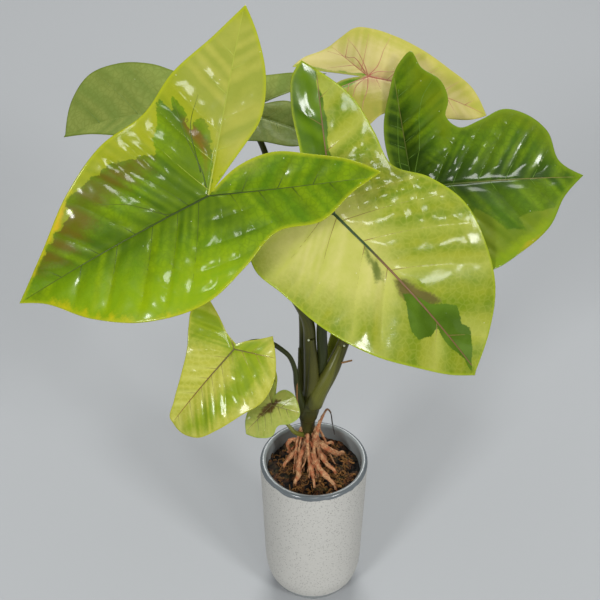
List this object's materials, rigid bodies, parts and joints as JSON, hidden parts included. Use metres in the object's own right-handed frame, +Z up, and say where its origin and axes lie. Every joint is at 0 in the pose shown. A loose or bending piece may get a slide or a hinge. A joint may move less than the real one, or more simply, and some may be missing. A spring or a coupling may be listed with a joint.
{
  "type": "potted syngonium",
  "caption": "Small arrowhead vine with variegated arrow-shaped leaves on long stalks, in a glazed round-heeled stoneware pot.",
  "frame": {"origin": "centre of the pot's flat foot, on the surface that the pot stands on", "axes": "+Z up along the pot's axis, -Y towards the plant's front, +X to the right seen from the front"},
  "size_m": [0.3051, 0.2064, 0.4094],
  "materials": {
    "stoneware": "matte",
    "earth": "matte",
    "stalk_green": "satin",
    "root_brown": "matte",
    "dark_green_leaf": "satin",
    "lime_leaf": "satin",
    "cream_leaf": "satin",
    "plain_green_leaf": "satin"
  },
  "bodies": {
    "root": {"pot": "stoneware", "soil": "earth", "stem": "stalk_green", "roots": "root_brown", "leaf_front_left": "dark_green_leaf", "leaf_front_right": "lime_leaf", "leaf_right": "dark_green_leaf", "leaf_back_right": "cream_leaf", "leaf_back_left": "plain_green_leaf", "leaf_low_left": "lime_leaf", "leaf_lowest": "lime_leaf"}
  },
  "joints": []
}
